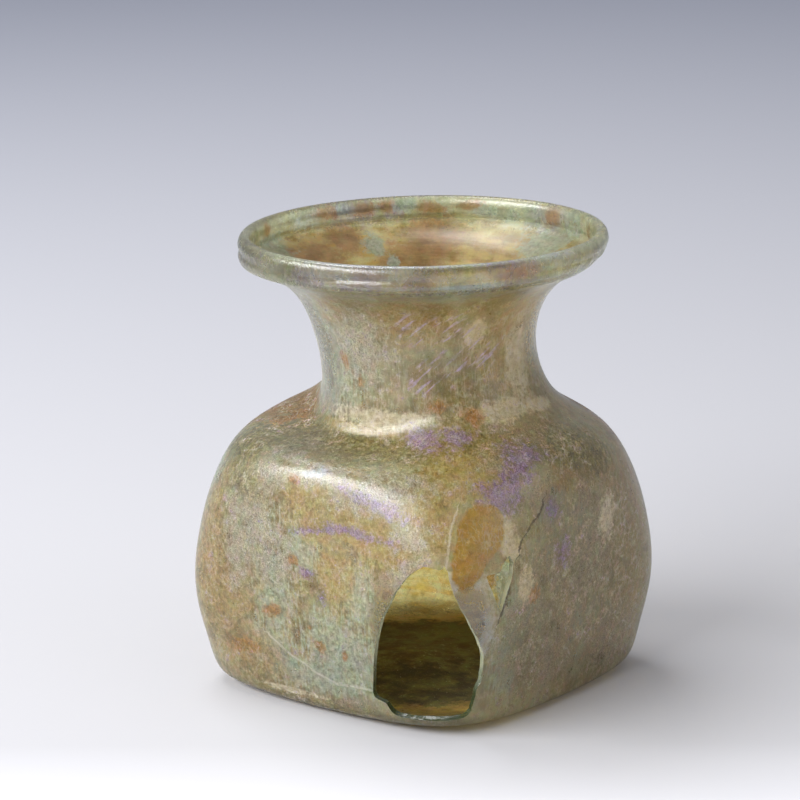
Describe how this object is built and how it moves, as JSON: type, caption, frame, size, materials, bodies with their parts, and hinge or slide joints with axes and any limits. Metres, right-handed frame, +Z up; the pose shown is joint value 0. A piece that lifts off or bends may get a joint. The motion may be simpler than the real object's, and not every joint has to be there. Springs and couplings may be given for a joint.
{
  "type": "square glass jar",
  "caption": "Small blown glass jar with four flattened sides, a waisted neck and a wide rolled rim, weathered, and broken open at one lower corner.",
  "frame": {"origin": "middle of the underside, on the surface that the jar stands on", "axes": "+Z up; the four flat sides face +X, -X, +Y and -Y; the broken corner is the one at +X and -Y"},
  "size_m": [0.0662, 0.0662, 0.0805],
  "materials": {
    "glass": "weathered"
  },
  "bodies": {
    "root": {"jar": "glass"}
  },
  "joints": []
}
